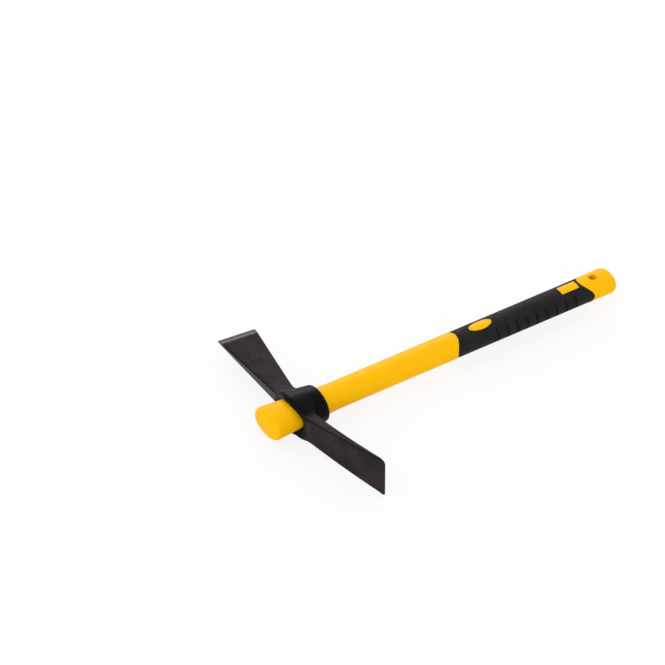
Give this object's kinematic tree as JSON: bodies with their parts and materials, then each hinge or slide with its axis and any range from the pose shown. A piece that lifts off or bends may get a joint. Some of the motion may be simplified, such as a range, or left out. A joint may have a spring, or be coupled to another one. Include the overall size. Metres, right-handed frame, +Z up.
{
  "type": "cutter mattock",
  "caption": "Compact cutter mattock: a forged axe-and-adze head that drops over an oval plastic-jacketed fibreglass handle to its flared end, with a rubber grip and a hang hole.",
  "frame": {"origin": "under the middle of the tool's box, at the height of the lowest corner of the adze edge", "axes": "the tool lies on its side: +X along the handle to its butt, +Y to the axe blade, -Y to the adze blade, +Z up, across the swing"},
  "size_m": [0.411, 0.264, 0.0427],
  "materials": {
    "forged_steel": "dark painted forging with bare ground edges",
    "yellow_plastic": "satin moulded plastic",
    "fibreglass": "pultruded rod, hidden inside the jacket",
    "black_rubber": "matt moulded rubber"
  },
  "bodies": {
    "handle": {"handle_jacket": "yellow_plastic", "fibreglass_core": "fibreglass", "rubber_grip": "black_rubber"},
    "head": {"mattock_head": "forged_steel"}
  },
  "joints": [
    {"name": "head_slide", "type": "slide", "parent": "handle", "child": "head", "axis": [1, 0, 0], "range_m": [0, 0.348]}
  ]
}
